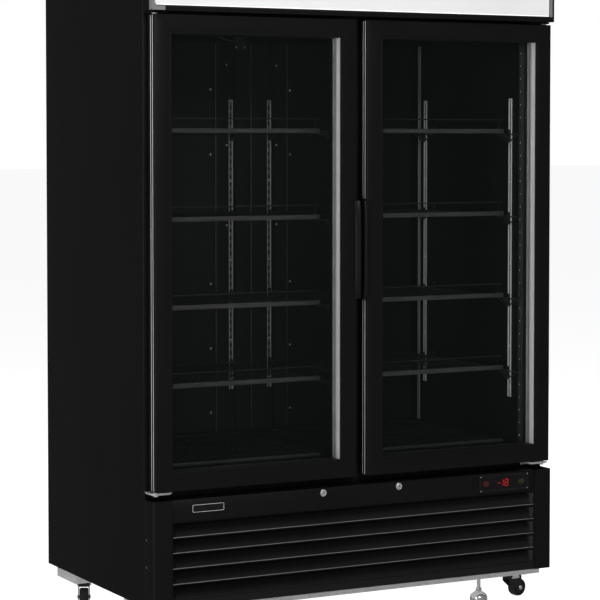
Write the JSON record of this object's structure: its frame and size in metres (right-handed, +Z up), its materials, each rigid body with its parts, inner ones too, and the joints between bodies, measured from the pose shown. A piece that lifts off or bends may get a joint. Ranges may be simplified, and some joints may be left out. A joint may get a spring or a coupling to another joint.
{
  "type": "glass door merchandiser",
  "caption": "Upright display freezer with hinged glass doors, lit header canopy, wire shelves, louvred plinth, locks, swivel castors and levelling feet.",
  "frame": {"origin": "on the floor under the middle of the bounding box", "axes": "+X to the right seen from the doors, +Y to the back, +Z up"},
  "size_m": [1.37, 0.82, 2.03],
  "materials": {
    "black_paint": "satin",
    "black_plastic": "matte",
    "liner_black": "matte",
    "insulating_foam": "matte",
    "galvanised_steel": "satin",
    "cast_black": "matte",
    "fin_metal": "satin",
    "zinc_plate": "satin",
    "white_acrylic": "satin",
    "door_glass": "polished",
    "seal_rubber": "matte",
    "door_black": "satin",
    "wire_black": "satin",
    "chrome_plate": "polished",
    "wheel_black": "matte"
  },
  "bodies": {
    "cabinet": {"left_side_panel": "black_paint", "right_side_panel": "black_paint", "rear_and_roof_panel": "black_paint", "insulation_body": "insulating_foam", "inner_liner": "liner_black", "center_mullion": "liner_black", "rear_duct_panel": "liner_black", "evaporator_cover": "liner_black", "evaporator_coil": "fin_metal", "base_frame": "galvanised_steel", "compressor": "cast_black", "condenser": "fin_metal", "left_corner_post": "black_paint", "right_corner_post": "black_paint", "front_grille": "black_paint", "controller": "black_plastic", "rear_grille": "galvanised_steel", "canopy_housing": "black_paint", "canopy_panel": "white_acrylic", "left_front_standard": "zinc_plate", "left_rear_standard": "zinc_plate", "right_front_standard": "zinc_plate", "right_rear_standard": "zinc_plate", "left_lower_hinge": "zinc_plate", "left_upper_hinge": "zinc_plate", "right_lower_hinge": "zinc_plate", "right_upper_hinge": "zinc_plate"},
    "left_door": {"left_door_frame": "door_black", "left_door_glass": "door_glass", "left_door_seal": "seal_rubber", "left_door_grip": "door_black"},
    "right_door": {"right_door_frame": "door_black", "right_door_glass": "door_glass", "right_door_seal": "seal_rubber", "right_door_grip": "door_black"},
    "left_lock": {"left_lock": "chrome_plate"},
    "right_lock": {"right_lock": "chrome_plate"},
    "evaporator_fan_left": {"evaporator_fan_left": "black_plastic"},
    "evaporator_fan_right": {"evaporator_fan_right": "black_plastic"},
    "condenser_fan": {"condenser_fan": "black_plastic"},
    "left_shelf_1": {"left_shelf_1": "wire_black"},
    "left_shelf_2": {"left_shelf_2": "wire_black"},
    "left_shelf_3": {"left_shelf_3": "wire_black"},
    "left_shelf_4": {"left_shelf_4": "wire_black"},
    "right_shelf_1": {"right_shelf_1": "wire_black"},
    "right_shelf_2": {"right_shelf_2": "wire_black"},
    "right_shelf_3": {"right_shelf_3": "wire_black"},
    "right_shelf_4": {"right_shelf_4": "wire_black"},
    "front_left_castor": {"front_left_castor_fork": "cast_black"},
    "front_left_wheel": {"front_left_castor_wheel": "wheel_black"},
    "front_left_brake": {"front_left_brake_pedal": "zinc_plate"},
    "front_right_castor": {"front_right_castor_fork": "cast_black"},
    "front_right_wheel": {"front_right_castor_wheel": "wheel_black"},
    "front_right_brake": {"front_right_brake_pedal": "zinc_plate"},
    "rear_left_castor": {"rear_left_castor_fork": "cast_black"},
    "rear_left_wheel": {"rear_left_castor_wheel": "wheel_black"},
    "rear_right_castor": {"rear_right_castor_fork": "cast_black"},
    "rear_right_wheel": {"rear_right_castor_wheel": "wheel_black"},
    "left_foot": {"left_levelling_foot": "chrome_plate"},
    "right_foot": {"right_levelling_foot": "chrome_plate"}
  },
  "joints": [
    {"name": "left_door_swing", "type": "hinge", "parent": "cabinet", "child": "left_door", "pos_m": [-0.663, -0.374, 1.128], "axis": [0, 0, -1], "range_deg": [0, 100]},
    {"name": "right_door_swing", "type": "hinge", "parent": "cabinet", "child": "right_door", "pos_m": [0.663, -0.374, 1.128], "axis": [0, 0, 1], "range_deg": [0, 100]},
    {"name": "left_lock_turn", "type": "hinge", "parent": "cabinet", "child": "left_lock", "pos_m": [-0.13, -0.396, 0.407], "axis": [0, -1, 0], "range_deg": [0, 90]},
    {"name": "right_lock_turn", "type": "hinge", "parent": "cabinet", "child": "right_lock", "pos_m": [0.13, -0.396, 0.407], "axis": [0, -1, 0], "range_deg": [0, 90]},
    {"name": "evaporator_fan_left_spin", "type": "hinge", "parent": "cabinet", "child": "evaporator_fan_left", "pos_m": [-0.28, -0.11, 1.8095], "axis": [0, 0, 1], "continuous": true},
    {"name": "evaporator_fan_right_spin", "type": "hinge", "parent": "cabinet", "child": "evaporator_fan_right", "pos_m": [0.28, -0.11, 1.8095], "axis": [0, 0, 1], "continuous": true},
    {"name": "condenser_fan_spin", "type": "hinge", "parent": "cabinet", "child": "condenser_fan", "pos_m": [-0.25, -0.184, 0.251], "axis": [0, 1, 0], "continuous": true},
    {"name": "left_shelf_1_lift", "type": "slide", "parent": "cabinet", "child": "left_shelf_1", "axis": [0, 0, 1], "range_m": [0, 0.012]},
    {"name": "left_shelf_2_lift", "type": "slide", "parent": "cabinet", "child": "left_shelf_2", "axis": [0, 0, 1], "range_m": [0, 0.012]},
    {"name": "left_shelf_3_lift", "type": "slide", "parent": "cabinet", "child": "left_shelf_3", "axis": [0, 0, 1], "range_m": [0, 0.012]},
    {"name": "left_shelf_4_lift", "type": "slide", "parent": "cabinet", "child": "left_shelf_4", "axis": [0, 0, 1], "range_m": [0, 0.012]},
    {"name": "right_shelf_1_lift", "type": "slide", "parent": "cabinet", "child": "right_shelf_1", "axis": [0, 0, 1], "range_m": [0, 0.012]},
    {"name": "right_shelf_2_lift", "type": "slide", "parent": "cabinet", "child": "right_shelf_2", "axis": [0, 0, 1], "range_m": [0, 0.012]},
    {"name": "right_shelf_3_lift", "type": "slide", "parent": "cabinet", "child": "right_shelf_3", "axis": [0, 0, 1], "range_m": [0, 0.012]},
    {"name": "right_shelf_4_lift", "type": "slide", "parent": "cabinet", "child": "right_shelf_4", "axis": [0, 0, 1], "range_m": [0, 0.012]},
    {"name": "front_left_swivel", "type": "hinge", "parent": "cabinet", "child": "front_left_castor", "pos_m": [-0.625, -0.268, 0.06], "axis": [0, 0, 1], "continuous": true},
    {"name": "front_left_wheel_roll", "type": "hinge", "parent": "front_left_castor", "child": "front_left_wheel", "pos_m": [-0.60426, -0.26471, 0.028], "axis": [-0.1564, 0.9877, 0], "continuous": true},
    {"name": "front_left_brake_press", "type": "hinge", "parent": "front_left_castor", "child": "front_left_brake", "pos_m": [-0.59833, -0.26378, 0.0672], "axis": [-0.1564, 0.9877, 0], "range_deg": [0, 15]},
    {"name": "front_right_swivel", "type": "hinge", "parent": "cabinet", "child": "front_right_castor", "pos_m": [0.625, -0.268, 0.06], "axis": [0, 0, 1], "continuous": true},
    {"name": "front_right_wheel_roll", "type": "hinge", "parent": "front_right_castor", "child": "front_right_wheel", "pos_m": [0.64574, -0.26471, 0.028], "axis": [-0.1564, 0.9877, 0], "continuous": true},
    {"name": "front_right_brake_press", "type": "hinge", "parent": "front_right_castor", "child": "front_right_brake", "pos_m": [0.65167, -0.26378, 0.0672], "axis": [-0.1564, 0.9877, 0], "range_deg": [0, 15]},
    {"name": "rear_left_swivel", "type": "hinge", "parent": "cabinet", "child": "rear_left_castor", "pos_m": [-0.625, 0.26, 0.06], "axis": [0, 0, 1], "continuous": true},
    {"name": "rear_left_wheel_roll", "type": "hinge", "parent": "rear_left_castor", "child": "rear_left_wheel", "pos_m": [-0.63287, 0.24053, 0.028], "axis": [0.9272, -0.3746, 0], "continuous": true},
    {"name": "rear_right_swivel", "type": "hinge", "parent": "cabinet", "child": "rear_right_castor", "pos_m": [0.625, 0.26, 0.06], "axis": [0, 0, 1], "continuous": true},
    {"name": "rear_right_wheel_roll", "type": "hinge", "parent": "rear_right_castor", "child": "rear_right_wheel", "pos_m": [0.61713, 0.24053, 0.028], "axis": [0.9272, -0.3746, 0], "continuous": true},
    {"name": "left_foot_level", "type": "slide", "parent": "cabinet", "child": "left_foot", "axis": [0, 0, 1], "range_m": [0, 0.02]},
    {"name": "right_foot_level", "type": "slide", "parent": "cabinet", "child": "right_foot", "axis": [0, 0, 1], "range_m": [0, 0.02]}
  ]
}
